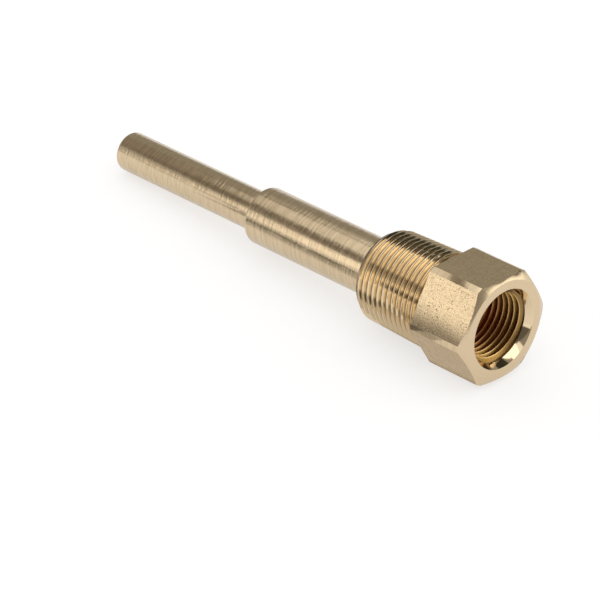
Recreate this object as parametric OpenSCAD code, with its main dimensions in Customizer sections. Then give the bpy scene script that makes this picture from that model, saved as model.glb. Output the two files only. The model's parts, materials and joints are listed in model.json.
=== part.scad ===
// Stepped-shank thermowell turned from one bar of hexagonal brass.
//
// A blind protection tube for a temperature sensor. The tapered pipe thread
// seals it into a process pipe, the hexagon takes the wrench, the tapered
// female thread in the hexagon takes the instrument, and the long drilled
// bore carries the sensor down to the closed tip.
//
// Lengths are in mm. The well is built upright on +Z, tip at the bottom, and
// then laid down the way it comes to rest, one flat of the hexagon facing
// down. Its weight lies behind the pipe thread, so it rests on the tip and on
// the small end of that thread, and the hexagon clears the ground by a hair.

/* [Sensing stem] */
// Diameter of the thin stem at the tip
stem_d = 11.3; // [10:0.05:13]
// Length of the thin stem, from the tip to the step
stem_len = 55.3; // [30:0.1:120]
// Bevel on the edge of the closed tip
tip_bevel = 0.8; // [0.2:0.1:1.6]

/* [Heavy shank] */
// Diameter of the heavy shank behind the step
shank_d = 16.2; // [14:0.05:19]
// Length of the heavy shank, from the step to the pipe thread
shank_len = 46.5; // [20:0.1:120]
// Radius of the rounded outer edge of the step
step_round = 0.8; // [0.2:0.05:1.1]
// Radius of the hollow corner between the step and the thin stem
step_fillet = 0.9; // [0.2:0.05:1.2]

/* [Male pipe thread] */
// Threads per inch of the male thread
male_tpi = 14; // [11.5:0.5:18]
// Length of the threaded section
male_len = 24.2; // [14:0.1:34]
// Pitch diameter of the thread at its small end
male_pitch_d = 24.58; // [23:0.01:24.9]
// Height cut off the sharp crest, as a share of the pitch
male_crest_cut = 0.12; // [0.033:0.001:0.15]
// Depth filled in at the root, as a share of the pitch
male_root_cut = 0.06; // [0.033:0.001:0.1]
// Length of the bevel that starts the thread
male_start = 2; // [0.4:0.1:3]

/* [Hexagon] */
// Width across the flats
hex_af = 28.58; // [28.1:0.02:32]
// Diameter of the narrow turned lands on the six corners
land_d = 32; // [31.2:0.1:32.4]
// Length of the hexagon
hex_len = 18; // [12:0.1:30]
// Diameter of the flat ring around the mouth
face_d = 27.2; // [25.5:0.1:28]
// Angle of the bevel outside that ring, from the flat of the face
face_bevel = 28; // [10:1:40]

/* [Instrument socket] */
// Diameter of the smooth relief at the mouth
mouth_d = 22.3; // [22:0.1:23.2]
// Depth of the smooth relief
mouth_depth = 2.3; // [1:0.1:4]
// Radius lost over the depth of the relief
mouth_draft = 0.5; // [0:0.05:0.8]
// Depth of the countersink between the relief and the thread
mouth_sink = 1.8; // [0.5:0.1:2.5]
// Threads per inch of the female thread
female_tpi = 14; // [14:0.5:18]
// Length of the female thread
female_len = 13.8; // [9:0.1:18]
// Pitch diameter of the female thread where it starts
female_pitch_d = 19.77; // [19.4:0.01:20]
// Depth filled in at the root of the groove, as a share of the pitch
female_root_cut = 0.05; // [0.033:0.001:0.1]
// Diameter of the drilled hole that runs on below the thread
drill_d = 17.46; // [16.6:0.02:17.6]
// Length of the plain drilled wall below the thread
drill_run = 3; // [1:0.1:6]

/* [Sensor bore] */
// Diameter of the sensor bore
bore_d = 6.6; // [3:0.1:7.4]
// Thickness of solid metal left at the tip
tip_wall = 6.35; // [4:0.05:12]
// Included angle of the drill points at both hole bottoms
drill_point = 118; // [90:1:140]

/* [Resolution] */
// Flat facets in one turn of a thread
thread_facets = 36; // [24:4:48]

/* [Hidden] */
$fn = 96;
brass = [0.71, 0.60, 0.42];
eps = 0.01;
// how far a solid runs into its neighbour, and a cut past a face
lap = 1;
inch = 25.4;
// half the angle of the thread form, and the taper of both threads on radius
flank = 30;
taper = 1 / 32;

// stations along the axis, from the tip
shoulder_z = stem_len;
male_z = shoulder_z + shank_len;
hex_z = male_z + male_len;
face_z = hex_z + hex_len;
female_z = face_z - mouth_depth;
female_end_z = female_z - female_len;
drill_end_z = female_end_z - drill_run;

// male thread form: radii are those at its small end
male_pitch = inch / male_tpi;
male_sharp = male_pitch / (2 * tan(flank));
male_crest_r = male_pitch_d / 2 + male_sharp / 2 - male_crest_cut * male_pitch;
male_root_r = male_pitch_d / 2 - male_sharp / 2 + male_root_cut * male_pitch;
male_apex_r = male_pitch_d / 2 + male_sharp / 2;
// how deep the foot of the ridge is sunk into the core
male_bury = 0.05;

// female thread form: radii are those at its mouth
female_pitch = inch / female_tpi;
female_sharp = female_pitch / (2 * tan(flank));
female_root_r = female_pitch_d / 2 + female_sharp / 2 - female_root_cut * female_pitch;
female_ream_r = drill_d / 2 + female_len * taper;
female_apex_r = female_pitch_d / 2 + female_sharp / 2;
// how far the groove's cutter stands out of the reamed wall
female_proud = 0.03;

// the edges the body can rest on besides the tip, as [height above it, radius]
tip_ring_z = tip_bevel;
rest_rings = [
    [shoulder_z + step_round, shank_d / 2],
    [male_z + male_start, male_crest_r + male_start * taper],
    [hex_z, hex_af / 2]
];
tilt = max([for (r = rest_rings) atan((r[1] - stem_d / 2) / (r[0] - tip_ring_z))]);
rest_h = (hex_z - tip_ring_z) * sin(tilt) + stem_d / 2 * cos(tilt);

// reach of the laid body ahead of and behind the rear of the hexagon
front_reach = hex_len * cos(tilt) + face_d / 2 * sin(tilt);
back_reach = hex_z * cos(tilt) + (stem_d / 2 - tip_bevel) * sin(tilt);

// ---- stem ----

// Half section of the stem, from the axis outwards.
module stem_section() {
    difference() {
        square([stem_d / 2, shoulder_z + eps]);
        translate([stem_d / 2, 0])
            rotate(45)
                square(tip_bevel * sqrt(2), center = true);
    }
    difference() {
        translate([0, shoulder_z])
            square([shank_d / 2, shank_len + lap]);
        translate([shank_d / 2 - step_round, shoulder_z - eps])
            square([step_round + eps, step_round + eps]);
    }
    translate([shank_d / 2 - step_round, shoulder_z + step_round])
        circle(step_round);
    difference() {
        translate([stem_d / 2 - eps, shoulder_z - step_fillet])
            square([step_fillet + eps, step_fillet + eps]);
        translate([stem_d / 2 + step_fillet, shoulder_z - step_fillet])
            circle(step_fillet);
    }
}

module stem() {
    rotate_extrude()
        stem_section();
}

// ---- threads ----

// One closed helical bar of four-cornered section. Each section is a list of
// four [radius, height] corners, in order round the bar.
module helix_bar(sections, facets) {
    points = [
        for (i = [0 : len(sections) - 1])
            for (c = sections[i])
                [c[0] * cos(360 * i / facets), c[0] * sin(360 * i / facets), c[1]]
    ];
    last = (len(sections) - 1) * 4;
    sides = [
        for (i = [0 : len(sections) - 2])
            for (j = [0 : 3])
                let (a = i * 4 + j, b = i * 4 + (j + 1) % 4)
                    each [[a, b, b + 4], [a, b + 4, a + 4]]
    ];
    caps = [[3, 2, 1, 0], [last, last + 1, last + 2, last + 3]];
    polyhedron(points = points, faces = concat(sides, caps));
}

// Crest radius of the male thread at a height above its small end, held
// down by the bevel that starts the thread.
function male_limit(h) =
    min(male_crest_r + h * taper,
        male_root_r - 2 * male_bury + (male_crest_r - male_root_r + 2 * male_bury) * h / male_start);

// Corners of the male ridge at height h above the small end.
function male_ridge(h) =
    let (foot_r = male_root_r + h * taper - male_bury)
    let (top_r = max(foot_r + male_bury / 2, male_limit(h)))
    let (foot_w = (male_apex_r + h * taper - foot_r) * tan(flank))
    let (top_w = (male_apex_r + h * taper - top_r) * tan(flank))
    [[foot_r, h - foot_w], [top_r, h - top_w], [top_r, h + top_w], [foot_r, h + foot_w]];

// The ridge runs into the hexagon at one end and fades out in the start
// bevel at the other.
module male_thread() {
    turns = (male_len + male_pitch / 2) / male_pitch;
    count = ceil(turns * thread_facets);
    translate([0, 0, male_z]) {
        cylinder(r1 = male_root_r, r2 = male_root_r + (male_len + eps) * taper, h = male_len + eps);
        helix_bar([for (i = [0 : count]) male_ridge(male_pitch * (0.5 + i / thread_facets))], thread_facets);
    }
}

// Corners of the cutter for the female groove at depth d below its mouth.
function female_groove(d) =
    let (foot_r = female_ream_r - d * taper - female_proud)
    let (fade = (female_len - d) / female_pitch * (female_root_r - female_ream_r))
    let (top_r = foot_r + female_proud / 2 + max(0, min(female_root_r - female_ream_r, fade)))
    let (foot_w = (female_apex_r - d * taper - foot_r) * tan(flank))
    let (top_w = (female_apex_r - d * taper - top_r) * tan(flank))
    [[foot_r, -d - foot_w], [top_r, -d - top_w], [top_r, -d + top_w], [foot_r, -d + foot_w]];

// Everything the instrument socket takes away: relief, countersink, taper
// reamed wall, thread groove, drilled wall and drill point.
module instrument_socket() {
    point_h = (drill_d - bore_d) / 2 / tan(drill_point / 2);
    count = floor((female_len / female_pitch + 0.5) * thread_facets);
    // the relief is cut past the face, on the same slope
    relief_h = mouth_depth + lap;
    relief_top_r = mouth_d / 2 + lap * mouth_draft / mouth_depth;
    translate([0, 0, female_z])
        cylinder(r1 = mouth_d / 2 - mouth_draft, r2 = relief_top_r, h = relief_h);
    translate([0, 0, female_z - mouth_sink])
        cylinder(r1 = female_ream_r, r2 = mouth_d / 2 - mouth_draft, h = mouth_sink + eps);
    translate([0, 0, female_end_z])
        cylinder(r1 = drill_d / 2, r2 = female_ream_r, h = female_len);
    translate([0, 0, drill_end_z])
        cylinder(d = drill_d, h = drill_run + eps);
    translate([0, 0, drill_end_z - point_h])
        cylinder(d1 = bore_d, d2 = drill_d, h = point_h + eps);
    translate([0, 0, female_z])
        helix_bar([for (i = [0 : count]) female_groove(female_len - female_pitch * i / thread_facets)],
                  thread_facets);
}

// The long drilled bore, blind at the tip.
module sensor_bore() {
    point_h = bore_d / 2 / tan(drill_point / 2);
    translate([0, 0, tip_wall + point_h])
        cylinder(d = bore_d, h = female_end_z - tip_wall - point_h);
    translate([0, 0, tip_wall])
        cylinder(d1 = 0, d2 = bore_d, h = point_h + eps);
}

// ---- hexagon ----

// Hexagonal bar with its corners turned to narrow lands and its front face
// bevelled outside the mouth ring.
module hexagon() {
    bevel_run = (land_d - face_d) / 2;
    bevel_h = bevel_run * tan(face_bevel);
    translate([0, 0, hex_z])
        intersection() {
            rotate(30)
                cylinder(d = hex_af / cos(30), h = hex_len, $fn = 6);
            union() {
                cylinder(d = land_d, h = hex_len - bevel_h);
                translate([0, 0, hex_len - bevel_h])
                    cylinder(d1 = land_d, d2 = face_d, h = bevel_h);
            }
        }
}

// ---- whole well ----

// The well upright, tip at the bottom, axis on +Z.
module upright_well() {
    difference() {
        union() {
            stem();
            male_thread();
            hexagon();
        }
        instrument_socket();
        sensor_bore();
    }
}

// Laid down with a flat of the hexagon underneath and the mouth towards +X.
module thermowell() {
    color(brass)
        translate([(back_reach - front_reach) / 2, 0, rest_h])
            rotate([0, -tilt, 0])
                rotate([0, 90, 0])
                    translate([0, 0, -hex_z])
                        upright_well();
}

thermowell();
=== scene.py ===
import json
import math

import bmesh
import bpy
from mathutils import Matrix, Vector


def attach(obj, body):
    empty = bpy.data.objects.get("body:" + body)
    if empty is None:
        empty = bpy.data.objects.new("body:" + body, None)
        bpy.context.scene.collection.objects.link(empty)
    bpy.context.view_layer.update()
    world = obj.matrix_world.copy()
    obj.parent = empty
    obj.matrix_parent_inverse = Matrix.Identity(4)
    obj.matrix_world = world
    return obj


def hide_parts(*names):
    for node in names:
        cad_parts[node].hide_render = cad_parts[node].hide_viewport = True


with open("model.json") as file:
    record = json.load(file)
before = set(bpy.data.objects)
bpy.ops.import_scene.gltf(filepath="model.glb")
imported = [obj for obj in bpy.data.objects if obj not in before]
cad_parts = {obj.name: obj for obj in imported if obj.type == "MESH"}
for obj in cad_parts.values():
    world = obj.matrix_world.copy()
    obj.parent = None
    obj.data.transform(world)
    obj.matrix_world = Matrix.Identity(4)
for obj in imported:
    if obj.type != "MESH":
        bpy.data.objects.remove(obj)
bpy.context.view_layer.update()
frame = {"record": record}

mm = 0.001
nearCut = 0.0005 * mm  # what a cutting plane takes as lying on it
nearSeam = 0.002 * mm  # what joins the turns of a thread
nearWeld = 0.0004 * mm  # what joins the parts of the finished mesh
mounts = {m["name"]: m for m in frame["record"]["mounts"]}


# sizes in mm, heights up the axis from the rear of the hexagon
well = {
    "stemRadius": 5.65,
    "stemLength": 55.3,
    "tipBevel": 0.8,
    "tipRounds": (0.35, 0.3),
    "shankRadius": 8.1,
    "shankLength": 46.5,
    "stepRound": 0.8,
    "stepFillet": 0.9,
    "stepSteps": 6,
    "threadLength": 24.2,
    "pitch": 1.8143,
    "taper": 1 / 32,
    "malePitchRadius": 12.29,
    "maleCrestCut": 0.218,
    "maleRootCut": 0.109,
    "maleStart": 2.0,
    "maleStartDrop": 0.1,
    "acrossFlats": 28.58,
    "landRadius": 16.0,
    "hexLength": 18.0,
    "faceRadius": 13.6,
    "faceBevel": 28,
    "mouthRadius": 11.15,
    "mouthLean": 27.5,
    "mouthDepth": 2.1,
    "leadLean": 42,
    "leadGroove": 3.0,
    "femaleLength": 14.0,
    "femalePitchRadius": 9.885,
    "femaleRootCut": 0.091,
    "drillRadius": 8.73,
    "drillRun": 3.0,
    "boreRadius": 3.3,
    "tipWall": 6.35,
    "drillPoint": 118,
    "around": 192,
    "lap": 0.02,
    "softThread": 0.05,
    "softGroove": 0.03,
    "softEdge": 0.09,
    "edgeAngle": 8,
    "shadeAngle": 24,
}


def wellPlace(w):
    # the well is made upright, tip down; this lays it along the sensor bore
    # with one flat of the hexagon up
    along = Vector(mounts["sensor_bore"]["axis"]).normalized()
    up = Vector(mounts["wrench_flat"]["axis"]).normalized()
    side = up.cross(along)
    middle = Vector(mounts["wrench_flat"]["pos_m"]) - up * w["acrossFlats"] * mm / 2
    turn = Matrix((-up, side, along)).transposed().to_4x4()
    return Matrix.Translation(middle - along * w["hexLength"] * mm / 2) @ turn


def chainOf(bm, points):
    # a chain of edges through (radius, height) points
    verts = [bm.verts.new((r * mm, 0, z * mm)) for r, z in points]
    return verts + [bm.edges.new(pair) for pair in zip(verts, verts[1:])]


def turned(bm, points, w):
    # a closed turn of the chain about the axis
    bmesh.ops.spin(bm, geom=chainOf(bm, points), cent=(0, 0, 0), axis=(0, 0, 1), dvec=(0, 0, 0),
                   angle=math.tau, steps=w["around"], use_merge=True, use_duplicate=False)


def ringEdges(bm, radius, height, near=0.004):
    # the edges that run round the axis at one radius and height
    def onRing(v):
        return abs(v.co.z / mm - height) < near and abs(v.co.xy.length / mm - radius) < near
    return [e for e in bm.edges if onRing(e.verts[0]) and onRing(e.verts[1])]


def openRing(bm, radius, height):
    return [e for e in ringEdges(bm, radius, height) if e.is_boundary]


def roundEdges(bm, edges, offset, segments):
    return bmesh.ops.bevel(bm, geom=edges, offset=offset * mm, offset_type="OFFSET", affect="EDGES",
                           segments=segments, profile=0.5, material=-1, clamp_overlap=True)


def roundRing(bm, radius, height, offset, segments):
    roundEdges(bm, ringEdges(bm, radius, height), offset, segments)


def threadSection(foot, top, footHalf, topHalf, soft, pitch):
    # one pitch of thread, from the middle of one foot to the next, with the
    # sharp corners of its flat top and foot taken off
    rise = soft * 0.6
    half = pitch / 2
    side = [
        (foot, 0), (foot, footHalf - soft), (foot + rise, footHalf + soft * 0.4),
        (top - rise, half - topHalf - soft * 0.4), (top, half - topHalf + soft),
    ]
    return side + [(r, pitch - z) for r, z in reversed(side)]


def helix(bm, section, low, high, limit, w):
    # one pitch of thread section, wound up the axis, shaped by limit and cut
    # level at both ends; returns its lower and upper rims
    before = set(bm.verts)

    def made():
        return [v for v in bm.verts if v not in before]

    start = low - w["pitch"] * 1.2
    bmesh.ops.spin(bm, geom=chainOf(bm, [(r, z + start) for r, z in section]), cent=(0, 0, 0),
                   axis=(0, 0, 1), dvec=(0, 0, w["pitch"] / w["around"] * mm), angle=math.tau,
                   steps=w["around"], use_merge=False, use_duplicate=False)
    oneTurn = list({f for v in made() for f in v.link_faces})
    for k in range(1, math.ceil((high - low) / w["pitch"]) + 2):
        copy = bmesh.ops.duplicate(bm, geom=oneTurn)["geom"]
        bmesh.ops.translate(bm, verts=[g for g in copy if isinstance(g, bmesh.types.BMVert)],
                            vec=(0, 0, w["pitch"] * k * mm))
    bmesh.ops.remove_doubles(bm, verts=made(), dist=nearSeam)
    for v in made():
        r = v.co.xy.length / mm
        v.co.xy *= limit(r, v.co.z / mm) / r
    for height, side in ((low, -1), (high, 1)):
        live = made()
        edges = {e for v in live for e in v.link_edges}
        faces = {f for v in live for f in v.link_faces}
        bmesh.ops.bisect_plane(bm, geom=live + list(edges) + list(faces), dist=nearCut,
                               plane_co=(0, 0, height * mm), plane_no=(0, 0, side), clear_outer=True)
    rims = [[], []]
    for e in {e for v in made() for e in v.link_edges}:
        if e.is_boundary:
            middle = (e.verts[0].co.z + e.verts[1].co.z) / 2 / mm
            rims[0 if middle < (low + high) / 2 else 1].append(e)
    return rims


def windMale(bm, w, low, startRadius):
    # the ridge rises out of a bevel at its small end
    sharp = w["pitch"] * math.sqrt(3) / 2
    apex = w["malePitchRadius"] + sharp / 2
    foot, crest = apex - sharp + w["maleRootCut"], apex - w["maleCrestCut"]
    tan30 = math.tan(math.radians(30))

    def limit(r, z):
        rise = z - low
        full = r + rise * w["taper"]
        bevel = startRadius + (crest - startRadius) * rise / w["maleStart"]
        return max(startRadius, min(full, bevel)) if rise < 2 * w["maleStart"] else full

    section = threadSection(foot, crest, w["pitch"] / 2 - (apex - foot) * tan30,
                            (apex - crest) * tan30, w["softThread"], w["pitch"])
    return helix(bm, section, low + w["lap"], 0, limit, w)


def windFemale(bm, w, mouth, reliefRadius):
    # the groove opens in a short lead below the relief and fades above the drilled wall
    sharp = w["pitch"] * math.sqrt(3) / 2
    apex = w["femalePitchRadius"] + sharp / 2
    root, reamed = apex - w["femaleRootCut"], w["drillRadius"] + w["femaleLength"] * w["taper"]
    tan30 = math.tan(math.radians(30))
    lead = math.tan(math.radians(w["leadLean"]))

    def limit(r, z):
        depth = mouth - z
        sink = reliefRadius - depth * lead
        fade = max(0, (w["femaleLength"] - depth) / w["pitch"] * (root - reamed))
        opening = reliefRadius + depth * w["leadGroove"]
        groove = min(r - depth * w["taper"], reamed - depth * w["taper"] + fade, opening)
        return max(groove, min(sink, reliefRadius), w["drillRadius"])

    section = threadSection(reamed, root, w["pitch"] / 2 - (apex - reamed) * tan30,
                            (apex - root) * tan30, w["softGroove"], w["pitch"])
    return helix(bm, section, mouth - w["femaleLength"], mouth - w["lap"], limit, w)


def millFlats(bm, w):
    # six flats cut from the turned blank
    for k in range(6):
        a = math.tau * k / 6
        side = Vector((math.cos(a), math.sin(a), 0))
        cut = bmesh.ops.bisect_plane(bm, geom=bm.verts[:] + bm.edges[:] + bm.faces[:], dist=nearCut,
                                     plane_co=side * w["acrossFlats"] / 2 * mm, plane_no=side,
                                     clear_outer=True)
        rim = [g for g in cut["geom_cut"] if isinstance(g, bmesh.types.BMEdge) and g.is_boundary]
        bmesh.ops.contextual_create(bm, geom=rim)


def softenHexagon(bm, w, rearInner):
    # the burr taken off every edge of the hexagon's outside
    top = w["hexLength"]
    sharp = []
    for e in bm.edges:
        if len(e.link_faces) != 2:
            continue
        middle = (e.verts[0].co + e.verts[1].co) / 2 / mm
        outer = middle.xy.length > rearInner and middle.z > -0.001
        rim = abs(middle.z - top) < 0.002
        if (outer or rim) and e.calc_face_angle(0) > math.radians(w["edgeAngle"]):
            sharp.append(e)
    roundEdges(bm, sharp, w["softEdge"], 2)


def buildWell(w):
    bm = bmesh.new()
    threadFoot = -w["threadLength"]
    step = threadFoot - w["shankLength"]
    tip = step - w["stemLength"]
    top = w["hexLength"]
    sharp = w["pitch"] * math.sqrt(3) / 2
    startRadius = w["malePitchRadius"] - sharp / 2 + w["maleRootCut"] - w["maleStartDrop"]
    footRadius = startRadius - w["lap"] / 2

    # stem and shank, from the middle of the tip to the foot of the thread
    turned(bm, [
        (0, tip), (w["stemRadius"] * 0.5, tip), (w["stemRadius"] - w["tipBevel"], tip),
        (w["stemRadius"], tip + w["tipBevel"]), (w["stemRadius"], step), (w["shankRadius"], step),
        (w["shankRadius"], threadFoot), (footRadius, threadFoot),
    ], w)
    roundRing(bm, w["shankRadius"], step, w["stepRound"], w["stepSteps"])
    roundRing(bm, w["stemRadius"], step, w["stepFillet"], w["stepSteps"])
    roundRing(bm, w["stemRadius"], tip + w["tipBevel"], w["tipRounds"][0], 3)
    roundRing(bm, w["stemRadius"] - w["tipBevel"], tip, w["tipRounds"][1], 3)
    print("stem and shank turned")

    low, maleTop = windMale(bm, w, threadFoot, startRadius)
    bmesh.ops.bridge_loops(bm, edges=low + openRing(bm, footRadius, threadFoot))
    print("male thread wound")

    # the hexagon's blank: rear, lands, face bevel, face and relief
    bevelHeight = (w["landRadius"] - w["faceRadius"]) * math.tan(math.radians(w["faceBevel"]))
    reliefFoot = top - w["mouthDepth"]
    reliefRadius = w["mouthRadius"] - w["mouthDepth"] * math.tan(math.radians(w["mouthLean"]))
    turned(bm, [
        (w["landRadius"], 0), (w["landRadius"], top - bevelHeight), (w["faceRadius"], top),
        (w["mouthRadius"], top), (reliefRadius, reliefFoot),
    ], w)
    bmesh.ops.bridge_loops(bm, edges=maleTop + openRing(bm, w["landRadius"], 0))
    socketFoot, high = windFemale(bm, w, reliefFoot, reliefRadius)
    bmesh.ops.bridge_loops(bm, edges=high + openRing(bm, reliefRadius, reliefFoot))

    # drilled wall, drill point and sensor bore
    slope = math.tan(math.radians(w["drillPoint"] / 2))
    drillTop = reliefFoot - w["femaleLength"] - w["lap"]
    drillFoot = drillTop - w["drillRun"]
    boreFoot = tip + w["tipWall"]
    turned(bm, [
        (w["drillRadius"], drillTop), (w["drillRadius"], drillFoot),
        (w["boreRadius"], drillFoot - (w["drillRadius"] - w["boreRadius"]) / slope),
        (w["boreRadius"], boreFoot + w["boreRadius"] / slope), (0, boreFoot),
    ], w)
    bmesh.ops.bridge_loops(bm, edges=socketFoot + openRing(bm, w["drillRadius"], drillTop))
    print("socket and bore cut")

    # half a step round, so that no facet is cut to a sliver at the lands
    bmesh.ops.rotate(bm, verts=bm.verts[:], cent=(0, 0, 0),
                     matrix=Matrix.Rotation(math.pi / w["around"], 3, "Z"))
    millFlats(bm, w)
    softenHexagon(bm, w, w["malePitchRadius"] + 1.2)
    print("flats milled")
    return bm


def finishMesh(bm, name, matrix, shadeAngle):
    bmesh.ops.remove_doubles(bm, verts=bm.verts[:], dist=nearWeld)
    bmesh.ops.transform(bm, matrix=matrix, verts=bm.verts[:])
    bmesh.ops.recalc_face_normals(bm, faces=bm.faces[:])
    print(name, "faces", len(bm.faces), "open edges", sum(1 for e in bm.edges if not e.is_manifold),
          "volume mm3", round(bm.calc_volume() / mm ** 3, 1))
    mesh = bpy.data.meshes.new(name)
    bm.to_mesh(mesh)
    bm.free()
    obj = bpy.data.objects.new(name, mesh)
    bpy.context.scene.collection.objects.link(obj)
    for p in mesh.polygons:
        p.use_smooth = True
    mesh.set_sharp_from_angle(angle=math.radians(shadeAngle))
    return obj


class Num:
    # a number socket, so that shader maths reads as plain expressions
    def __init__(self, tree, socket):
        self.tree, self.socket = tree, socket

    def _math(self, kind, a, b=None):
        node = self.tree.nodes.new("ShaderNodeMath")
        node.operation = kind
        for k, value in enumerate((a, b)):
            if isinstance(value, Num):
                self.tree.links.new(value.socket, node.inputs[k])
            elif value is not None:
                node.inputs[k].default_value = value
        return Num(self.tree, node.outputs[0])

    def __add__(self, other):
        return self._math("ADD", self, other)

    def __radd__(self, other):
        return self._math("ADD", other, self)

    def __sub__(self, other):
        return self._math("SUBTRACT", self, other)

    def __rsub__(self, other):
        return self._math("SUBTRACT", other, self)

    def __mul__(self, other):
        return self._math("MULTIPLY", self, other)

    def __rmul__(self, other):
        return self._math("MULTIPLY", other, self)

    def __truediv__(self, other):
        return self._math("DIVIDE", self, other)

    def __pow__(self, other):
        return self._math("POWER", self, other)

    def high(self, other):
        return self._math("MAXIMUM", self, other)


class Finish:
    # one material and its nodes
    def __init__(self, name):
        self.material = bpy.data.materials.new(name)
        self.material.use_nodes = True
        self.tree = self.material.node_tree
        self.tree.nodes.clear()

    def node(self, kind, settings=None, out=0, **values):
        node = self.tree.nodes.new(kind)
        for key, value in (settings or {}).items():
            setattr(node, key, value)
        for key, value in values.items():
            self.feed(node.inputs[int(key[1:]) if key[1:].isdigit() else key.replace("_", " ")], value)
        result = node.outputs[out]
        return Num(self.tree, result) if result.type == "VALUE" else result

    def feed(self, socket, value):
        if isinstance(value, Num):
            value = value.socket
        if isinstance(value, bpy.types.NodeSocket):
            self.tree.links.new(value, socket)
        else:
            socket.default_value = value

    def step(self, value, low, high):
        return self.node("ShaderNodeMapRange", {"interpolation_type": "SMOOTHSTEP"}, Value=value,
                         From_Min=low, From_Max=high, To_Min=0.0, To_Max=1.0)

    def mix(self, factor, a, b):
        return self.node("ShaderNodeMix", {"data_type": "RGBA"}, out=2, i0=factor, i6=a, i7=b)

    def noise(self, vector, scale, detail=2.0, rough=0.5):
        return self.node("ShaderNodeTexNoise", {"noise_dimensions": "3D"}, Vector=vector, Scale=scale,
                         Detail=detail, Roughness=rough)

    def join(self, x, y, z):
        return self.node("ShaderNodeCombineXYZ", X=x, Y=y, Z=z)

    def close(self, shader):
        out = self.tree.nodes.new("ShaderNodeOutputMaterial")
        self.tree.links.new(shader, out.inputs[0])
        return self.material


class Brass(Finish):
    # a brass finish laid out in the well's own directions: along is the way
    # up the axis in mm from the hexagon's rear, out the radius, round the
    # turn about the axis
    def __init__(self, name, w):
        super().__init__(name)
        place = wellPlace(w)
        axis = (place.to_3x3() @ Vector((0, 0, 1))).normalized()
        tilt = math.atan2(axis.z, axis.x)
        shift = -(Matrix.Rotation(tilt, 3, "Y") @ place.translation) / mm
        coords = self.node("ShaderNodeTexCoord", out=3)
        self.at = self.node("ShaderNodeMapping", {"vector_type": "POINT"}, Vector=coords,
                            Location=tuple(shift), Rotation=(0, tilt, 0), Scale=(1 / mm, 1 / mm, 1 / mm))
        split = self.tree.nodes.new("ShaderNodeSeparateXYZ")
        self.tree.links.new(self.at, split.inputs[0])
        self.along, y, z = (Num(self.tree, o) for o in split.outputs)
        self.across, self.rise = y, z
        self.out = (y * y + z * z) ** 0.5
        self.roundY, self.roundZ = y / self.out, z / self.out

    def rings(self, pitch, arc, detail=2.0, rough=0.5):
        # lathe marks pitch mm apart that break up into about arc lengths a turn
        spread = arc / math.tau
        return self.noise(self.join(self.along / pitch, self.roundY * spread, self.roundZ * spread),
                          1.0, detail, rough)

    def circles(self, pitch, arc):
        # facing marks: circles about the axis on a surface that faces along it
        spread = arc / math.tau
        return self.noise(self.join(self.out / pitch, self.roundY * spread, self.roundZ * spread), 1.0)

    def streaks(self, length, width, detail=2.0, rough=0.5):
        # marks drawn out along the axis
        return self.noise(self.join(self.along / length, self.across / width, self.rise / width),
                          1.0, detail, rough)

    def metal(self, colour, rough, height=None, depth=0.05):
        shader = self.node("ShaderNodeBsdfPrincipled", Base_Color=colour, Roughness=rough, Metallic=1.0)
        if height is not None:
            normal = self.node("ShaderNodeBump", Strength=1.0, Distance=depth * mm, Height=height)
            self.tree.links.new(normal, shader.node.inputs["Normal"])
        return self.close(shader)


tones = {
    "bright": (0.90, 0.70, 0.44, 1),
    "plain": (0.78, 0.61, 0.39, 1),
    "pink": (0.80, 0.63, 0.42, 1),
    "pale": (0.82, 0.67, 0.46, 1),
    "crest": (0.90, 0.73, 0.49, 1),
    "worn": (0.70, 0.55, 0.35, 1),
    "olive": (0.60, 0.48, 0.29, 1),
    # painted shade for the roots of the male thread
    "rootShade": (0.30, 0.20, 0.10, 1),
    "pit": (0.25, 0.17, 0.09, 1),
    "gold": (0.92, 0.62, 0.28, 1),
    # painted shade for the roots of the socket's groove and for deeper in the socket
    "grooveShade": (0.44, 0.26, 0.07, 1),
    "deepShade": (0.52, 0.15, 0.04, 1),
}


def turnedShank(name, w, fine, coarse, arc, depth, contrast):
    # lathe rings, with a few slanting scratches from handling
    f = Brass(name, w)
    feed = f.rings(fine, 6.0, 1.0, 0.5)
    chatter = f.rings(coarse, arc, 3.0, 0.6)
    slant = f.node("ShaderNodeMapping", {"vector_type": "POINT"}, Vector=f.at, Rotation=(0.3, 0.5, 0.6),
                   Scale=(0.16, 3.2, 3.2))
    scratch = f.step(f.noise(slant, 1.0, 2.0, 0.6), 0.60, 0.72)
    marks = feed * 0.3 + chatter * 0.7
    colour = f.mix((1 - f.step(marks, 0.38, 0.60)) * contrast, tones["pink"], tones["olive"])
    colour = f.mix(scratch * 0.25, colour, tones["pale"])
    return f.metal(colour, 0.15 + (chatter - 0.4) * 0.10, marks - scratch * 0.10, depth)


def drawnFlats(name, w):
    # flats left as drawn bar: long lines, faint cross lines, specks and pits
    f = Brass(name, w)
    lines = f.streaks(7.0, 0.16, 3.0, 0.7)
    cross = f.rings(0.22, 30.0, 2.0, 0.6)
    mottle = f.noise(f.at, 2.2, 4.0, 0.7)
    pit = 1 - f.step(f.noise(f.at, 2.6, 1.0, 0.5), 0.28, 0.36)
    tone = f.step(lines * 0.35 + cross * 0.3 + mottle * 0.35, 0.42, 0.56)
    colour = f.mix(tone, tones["worn"], tones["bright"])
    colour = f.mix(pit * 0.6, colour, tones["pit"])
    return f.metal(colour, 0.17 + pit * 0.2, lines * 0.4 + cross * 0.4 - pit * 0.5, 0.03)


def turnedLands(name, w):
    # the corners still show the lathe's rings as faint bars
    f = Brass(name, w)
    bars = f.rings(0.9, 2.0, 2.0, 0.6)
    colour = f.mix(f.step(bars, 0.42, 0.58), tones["worn"], tones["plain"])
    return f.metal(colour, 0.14, bars, 0.005)


def facedRing(name, w):
    f = Brass(name, w)
    marks = f.circles(0.3, 8.0)
    colour = f.mix(f.step(marks, 0.3, 0.7), tones["plain"], tones["pink"])
    return f.metal(colour, 0.24 + (marks - 0.5) * 0.1, marks, 0.01)


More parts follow.
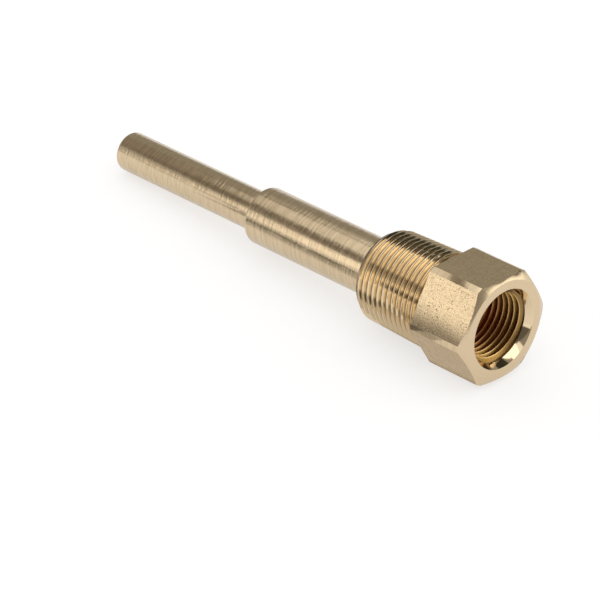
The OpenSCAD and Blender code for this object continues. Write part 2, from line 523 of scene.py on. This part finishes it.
def boredRelief(name, w):
    f = Brass(name, w)
    marks = f.rings(0.5, 3.0)
    return f.metal(f.mix(marks, tones["plain"], tones["crest"]), 0.10, marks, 0.01)


def cutThread(name, w, tip, foot, inside):
    # painted shade: darker towards the root, lighter along the crests; inside, painted shade
    # also makes it redder and darker deeper in, and it is dark where it starts
    f = Brass(name, w)
    grain = f.rings(0.2, 12.0)
    if inside:
        below = w["hexLength"] - w["mouthDepth"] - f.along
        depth = f.step(f.out + below * w["taper"], tip, foot)
        # painted shade: darker towards the root of the groove
        colour = f.mix(depth, tones["gold"], tones["grooveShade"])
        # painted shade: redder and darker deeper in the socket
        colour = f.mix(f.step(below, 2.0, 12.0) * 0.6, colour, tones["deepShade"])
        colour = f.mix((1 - f.step(below, 0.4, 1.4)) * 0.7, colour, tones["pit"])
        marks = grain * 0.5 + f.circles(0.16, 12.0) * 0.5
        return f.metal(colour, 0.36 + (marks - 0.5) * 0.1, marks, 0.04)
    depth = 1 - f.step(f.out - (f.along + w["threadLength"]) * w["taper"], foot, tip)
    # painted shade: darker towards the root of the thread
    colour = f.mix(depth * 0.85, tones["crest"], tones["rootShade"])
    return f.metal(colour, 0.13 + (grain - 0.5) * 0.08, grain, 0.01)


def surfaceAt(c, n, w, flats):
    # which cut surface a face belongs to, from its middle and its normal
    step = -w["threadLength"] - w["shankLength"]
    tipSolid = step - w["stemLength"] + w["tipWall"] / 2
    r = c.xy.length
    inward = n.xy.dot(c.xy) < -0.05 * r
    if inward and r < w["mouthRadius"] + w["lap"] and c.z > tipSolid:
        return "relief" if c.z > w["hexLength"] - w["mouthDepth"] else "femaleThread"
    if c.z < step + 0.01:
        return "stem"
    if c.z < -w["threadLength"] + 0.001:
        return "shank"
    if c.z < -0.001 and r < w["landRadius"] - 1.2:
        return "maleThread"
    if abs(n.z) > 0.3:
        return "ring"
    return "flat" if max(n.dot(s) for s in flats) > 0.99995 else "land"


def dressWell(obj, w):
    # one finish for each cut surface
    finishes = {
        "stem": turnedShank("turnedStem", w, 0.25, 0.7, 6.0, 0.065, 0.6),
        "shank": turnedShank("turnedShank", w, 0.22, 0.55, 4.0, 0.10, 0.55),
        "maleThread": cutThread("maleThread", w, 12.6, 11.5, False),
        "flat": drawnFlats("drawnFlats", w),
        "land": turnedLands("turnedLands", w),
        "ring": facedRing("facedRing", w),
        "relief": boredRelief("boredRelief", w),
        "femaleThread": cutThread("femaleThread", w, 9.2, 9.5, True),
    }
    for m in finishes.values():
        obj.data.materials.append(m)
    surfaces = list(finishes)
    upright = wellPlace(w).inverted()
    turn = upright.to_3x3()
    flats = [Vector((math.cos(math.tau * k / 6), math.sin(math.tau * k / 6), 0)) for k in range(6)]
    for p in obj.data.polygons:
        n = turn @ p.normal
        surface = surfaceAt(upright @ p.center / mm, n, w, flats)
        p.material_index = surfaces.index(surface)
        p.use_smooth = surface != "flat" and n.z < 0.9999


thermowell = finishMesh(buildWell(well), "thermowell", wellPlace(well), well["shadeAngle"])
dressWell(thermowell, well)
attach(thermowell, "root")
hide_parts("thermowell")
print("well finished")


studio = {
    "floorSize": 6.0,
    "floorShade": (0.38, 0.375, 0.37, 1),
    "floorLift": 0.64,
    "metalLift": 0.48,
    "screenReach": 1.5,
}


def seenBy(tree, rays):
    # 1 for the named kinds of ray, 0 for other light
    path = tree.nodes.new("ShaderNodeLightPath")
    seen = Num(tree, path.outputs[rays[0]])
    for ray in rays[1:]:
        seen = seen.high(Num(tree, path.outputs[ray]))
    return seen


def linkStage(name, bm, material):
    mesh = bpy.data.meshes.new(name)
    bm.to_mesh(mesh)
    bm.free()
    mesh.materials.append(material)
    obj = bpy.data.objects.new(name, mesh)
    bpy.context.scene.collection.objects.link(obj)
    return obj


def layFloor(s):
    # pale floor, lifted to white where it is seen, that still takes a shadow
    f = Finish("paleFloor")
    bsdf = f.node("ShaderNodeBsdfPrincipled", Base_Color=s["floorShade"], Roughness=0.9)
    eye = seenBy(f.tree, ["Is Camera Ray", "Is Transmission Ray"]) * s["floorLift"]
    metal = seenBy(f.tree, ["Is Glossy Ray"]) * s["metalLift"]
    glow = f.node("ShaderNodeEmission", Color=(1, 1, 1, 1), Strength=eye + metal)
    f.close(f.node("ShaderNodeAddShader", i0=bsdf, i1=glow))
    bm = bmesh.new()
    bmesh.ops.create_grid(bm, x_segments=1, y_segments=1, size=s["floorSize"] / 2)
    return linkStage("floor", bm, f.material)


def glowOnly(name, bm, shade):
    # a glowing card that only the metal sees
    f = Finish(name)
    f.close(f.node("ShaderNodeEmission", Color=shade, Strength=1.0))
    card = linkStage(name, bm, f.material)
    card.visible_camera = card.visible_diffuse = False
    card.visible_shadow = card.visible_transmission = False
    return card


def hangScreen(name, azimuths, elevations, shade):
    # a curved card round the well
    bm = bmesh.new()
    lower, upper = (math.radians(e) for e in elevations)
    rows, reach = 6, studio["screenReach"]
    verts = []
    for k in range(rows + 1):
        e = lower + (upper - lower) * k / rows
        verts.append(bm.verts.new((reach * math.cos(e), 0, reach * math.sin(e))))
    edges = [bm.edges.new(pair) for pair in zip(verts, verts[1:])]
    bmesh.ops.spin(bm, geom=verts + edges, cent=(0, 0, 0), axis=(0, 0, 1), dvec=(0, 0, 0),
                   angle=math.radians(azimuths[1] - azimuths[0]), steps=12,
                   use_merge=azimuths[1] - azimuths[0] == 360, use_duplicate=False)
    bmesh.ops.rotate(bm, verts=bm.verts[:], cent=(0, 0, 0),
                     matrix=Matrix.Rotation(math.radians(azimuths[0]), 3, "Z"))
    return glowOnly(name, bm, shade)


def setCard(name, middle, size, pitch, shade):
    # a flat card near the well, level at a pitch of 0 and upright at 90
    bm = bmesh.new()
    bmesh.ops.create_grid(bm, x_segments=1, y_segments=1, size=0.5)
    bmesh.ops.scale(bm, vec=(size[0] * mm, size[1] * mm, 1), verts=bm.verts[:])
    bmesh.ops.rotate(bm, verts=bm.verts[:], cent=(0, 0, 0),
                     matrix=Matrix.Rotation(math.radians(pitch), 3, "X"))
    bmesh.ops.translate(bm, vec=Vector(middle) * mm, verts=bm.verts[:])
    return glowOnly(name, bm, shade)


def lightSky():
    world = bpy.data.worlds.new("sky")
    bpy.context.scene.world = world
    world.use_nodes = True
    tree = world.node_tree
    tree.nodes.clear()
    background = tree.nodes.new("ShaderNodeBackground")
    background.inputs[0].default_value = (1, 1, 1, 1)
    out = tree.nodes.new("ShaderNodeOutputWorld")
    tree.links.new(background.outputs[0], out.inputs[0])


# name, azimuths from and to, elevations from and to in degrees, shade
screens = (
    ("backScreen", (75, 160), (-3, 42), (0.31, 0.30, 0.27, 1)),
    ("farScreen", (160, 200), (19.5, 56), (0.27, 0.25, 0.22, 1)),
    ("lowScreen", (160, 219.5), (-3, 19.5), (0.45, 0.44, 0.42, 1)),
    ("ridgeScreen", (200, 245), (20, 40), (0.20, 0.18, 0.16, 1)),
    ("landScreen", (200, 212), (40, 56), (0.27, 0.25, 0.22, 1)),
    ("keyScreen", (219.5, 258), (-2, 20), (1.30, 1.26, 1.20, 1)),
    ("frontScreen", (258, 305), (8, 56), (0.12, 0.11, 0.10, 1)),
    ("cornerScreen", (305, 377), (-1, 45), (0.28, 0.27, 0.25, 1)),
    ("sideScreen", (17, 75), (-2, 66), (0.30, 0.28, 0.25, 1)),
    ("highScreen", (75, 135), (42, 66), (0.12, 0.11, 0.10, 1)),
    ("brightScreen", (270, 377), (56, 66), (1.60, 1.58, 1.54, 1)),
    ("topScreen", (0, 360), (66, 90), (1.60, 1.58, 1.54, 1)),
)

# name, middle and size in mm, pitch in degrees, shade
cards = (
    ("nearCard", (-100, -18, 122), (112, 88), 0, (0.84, 0.83, 0.81, 1)),
    ("faceCard", (218, 90, 74), (234, 100), 90, (1.60, 1.58, 1.54, 1)),
    ("threadCard", (73, 40, 62), (46, 56), 90, (0.03, 0.03, 0.02, 1)),
    ("threadCardFar", (113, 40, 71), (34, 38), 90, (0.03, 0.03, 0.02, 1)),
    ("lowCardHexagon", (42, -42, 23), (32, 6), 90, (0.12, 0.11, 0.10, 1)),
    ("lowCardEdge", (42, -42, 27.5), (32, 3), 90, (0.50, 0.49, 0.47, 1)),
    ("lowCardTip", (-75, -42, 10), (78, 5), 90, (0.50, 0.49, 0.47, 1)),
    # painted shade: a dark strip that only the metal sees, for the shaded underside and contact shadow
    # of a steel stem beside the well
    ("lowCardStemShade", (-28, -42, 3.8), (64, 6.5), 90, (0.10, 0.10, 0.09, 1)),
    # painted shadow: darker patches on the floor that only the metal sees, standing for shade cast on
    # the floor near the well; the near one is also tinted by a painted warm bounce from the brass
    ("floorShadowSide", (-6, -33, 0.2), (108, 18), 0, (0.45, 0.44, 0.42, 1)),
    ("floorShadowUnder", (55, 2, 0.2), (31, 22), 0, (0.40, 0.37, 0.33, 1)),
    ("floorShadowNear", (55, -17.5, 0.3), (31, 17), 0, (0.55, 0.51, 0.46, 1)),
    ("floorShadowThread", (30, -28.5, 0.4), (16, 15), 0, (0.15, 0.14, 0.13, 1)),
)

view = {
    "target": (6.756, -9.07, -2.766),
    "azimuth": -45.514,
    "elevation": 32.238,
    "roll": -2.645,
    "distance": 925.28,
    "lens": 206.889,
}


def setCamera(v):
    camera = bpy.data.cameras.new("camera")
    camera.lens = v["lens"]
    camera.sensor_width = 36
    camera.clip_end = 100
    a, e = math.radians(v["azimuth"]), math.radians(v["elevation"])
    back = Vector((math.cos(a) * math.cos(e), math.sin(a) * math.cos(e), math.sin(e)))
    right = Vector((-math.sin(a), math.cos(a), 0))
    roll = Matrix.Rotation(math.radians(-v["roll"]), 3, "Z")
    turn = Matrix((right, back.cross(right), back)).transposed() @ roll
    place = Matrix.Translation((Vector(v["target"]) + back * v["distance"]) * mm)
    obj = bpy.data.objects.new("camera", camera)
    obj.matrix_world = place @ turn.to_4x4()
    bpy.context.scene.collection.objects.link(obj)
    bpy.context.scene.camera = obj


layFloor(studio)
lightSky()
for screen in screens:
    hangScreen(*screen)
for card in cards:
    setCard(*card)
setCamera(view)
bpy.context.scene.view_settings.view_transform = "Standard"
print("studio set")
